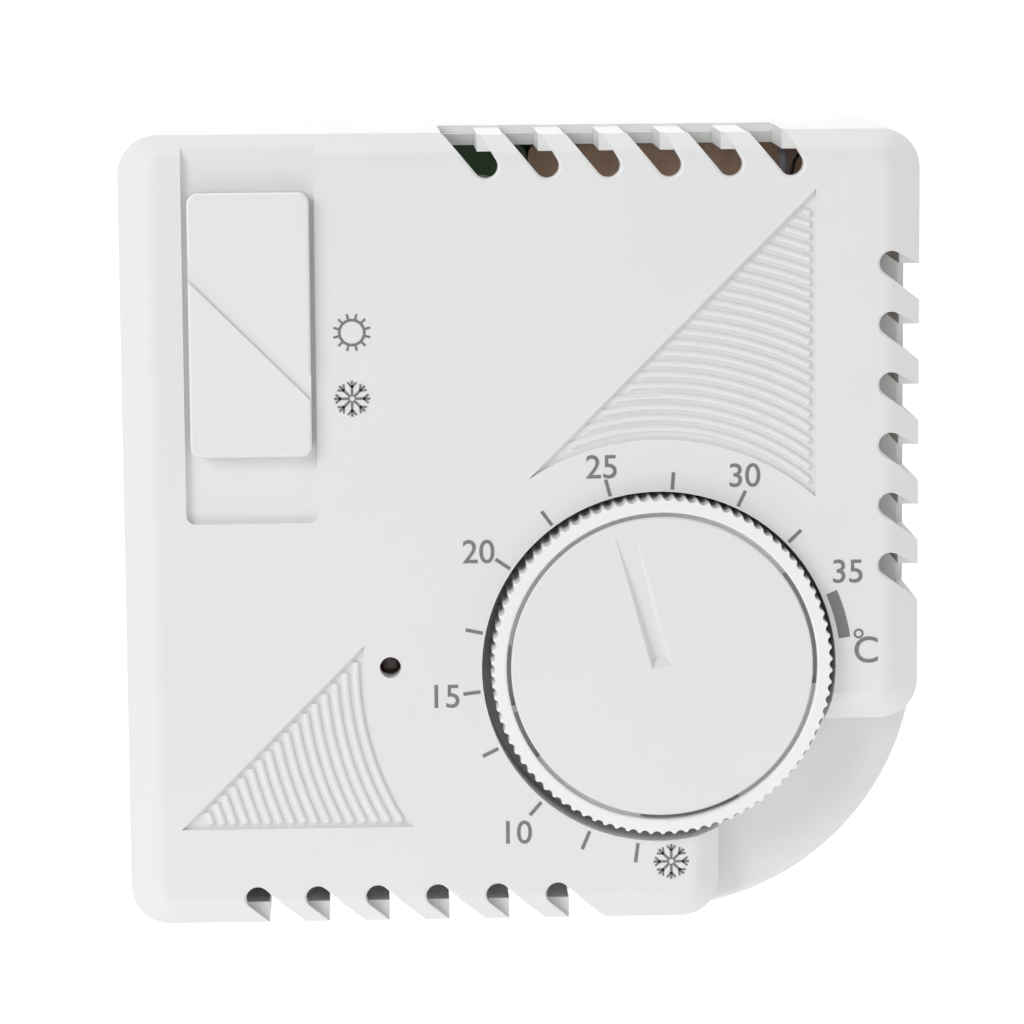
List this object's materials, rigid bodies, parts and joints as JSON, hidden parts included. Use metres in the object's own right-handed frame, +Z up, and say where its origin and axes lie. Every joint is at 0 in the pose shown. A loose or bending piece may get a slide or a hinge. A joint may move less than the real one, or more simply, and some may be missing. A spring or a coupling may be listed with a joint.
{
  "type": "wall thermostat",
  "caption": "Square white wall room thermostat with a knurled setting dial, sun and snow selector, lamp window and louvred edges",
  "frame": {"origin": "centre of the back face, on the wall", "axes": "+Z up, +Y into the wall, +X to the right seen from the front, which faces -Y"},
  "size_m": [0.082, 0.0299, 0.082],
  "materials": {
    "black_plastic": "matt",
    "board_green": "lacquered glass laminate",
    "brass": "turned",
    "grey_plastic": "matt",
    "laminate_brown": "phenolic paper laminate",
    "lens": "clear tinted",
    "red_plastic": "moulded",
    "resistor": "lacquered ceramic",
    "steel": "zinc plated",
    "tinned_wire": "tinned",
    "white_abs": "fine satin texture",
    "white_dial": "smooth semi-gloss",
    "wire_black": "PVC insulation",
    "wire_blue": "PVC insulation",
    "wire_brown": "PVC insulation",
    "wire_grey": "PVC insulation"
  },
  "bodies": {
    "housing": {"rear_housing": "white_abs", "front_cover": "white_abs", "spindle_bushing": "brass", "mechanism_bracket": "steel", "mechanism_plate": "laminate_brown", "snap_switch_body": "black_plastic", "snap_switch_terminals": "tinned_wire", "bracket_screws": "steel", "board_screws": "steel", "plate_screws": "steel", "cover_screw": "steel", "slide_switch_body": "black_plastic", "slide_switch_pins": "tinned_wire", "circuit_board": "board_green", "resistor_bodies": "resistor", "resistor_leads": "tinned_wire", "indicator_spacer": "black_plastic", "indicator_lens": "lens", "indicator_leads": "tinned_wire", "terminal_block": "grey_plastic", "terminal_clamps": "brass", "terminal_screws": "steel", "lead_wire_black": "wire_black", "lead_wire_grey": "wire_grey", "lead_wire_brown": "wire_brown", "lead_wire_blue": "wire_blue"},
    "dial": {"grip_ring": "white_dial", "dial_cap": "white_abs", "dial_spindle": "steel", "retaining_ring": "steel"},
    "capsule": {"capsule_carrier": "brass", "capsule_front_shell": "brass", "capsule_rear_shell": "brass"},
    "stud": {"capsule_stud": "brass"},
    "plunger": {"snap_switch_plunger": "red_plastic"},
    "selector": {"slide_button": "white_abs", "slide_switch_actuator": "black_plastic"}
  },
  "joints": [
    {"name": "dial_turn", "type": "hinge", "parent": "housing", "child": "dial", "pos_m": [0.0142, -0.025, -0.014], "axis": [0, 1, 0], "range_deg": [-160, 92]},
    {"name": "capsule_shift", "type": "slide", "parent": "housing", "child": "capsule", "axis": [0, 1, 0], "range_m": [-0.00021, 0.00036]},
    {"name": "stud_expand", "type": "slide", "parent": "capsule", "child": "stud", "axis": [0, 1, 0], "range_m": [0, 0.0005], "stiffness_N_per_m": 500},
    {"name": "plunger_press", "type": "slide", "parent": "housing", "child": "plunger", "axis": [0, 1, 0], "range_m": [0, 0.00025]},
    {"name": "selector_slide", "type": "slide", "parent": "housing", "child": "selector", "axis": [0, 0, 1], "range_m": [-0.0065, 0]}
  ],
  "couplings": [
    {"joint": "capsule_shift", "follows": "dial_turn", "m_per_rad": -0.00012732},
    {"joint": "plunger_press", "follows": "stud_expand", "ratio": 0.5}
  ]
}
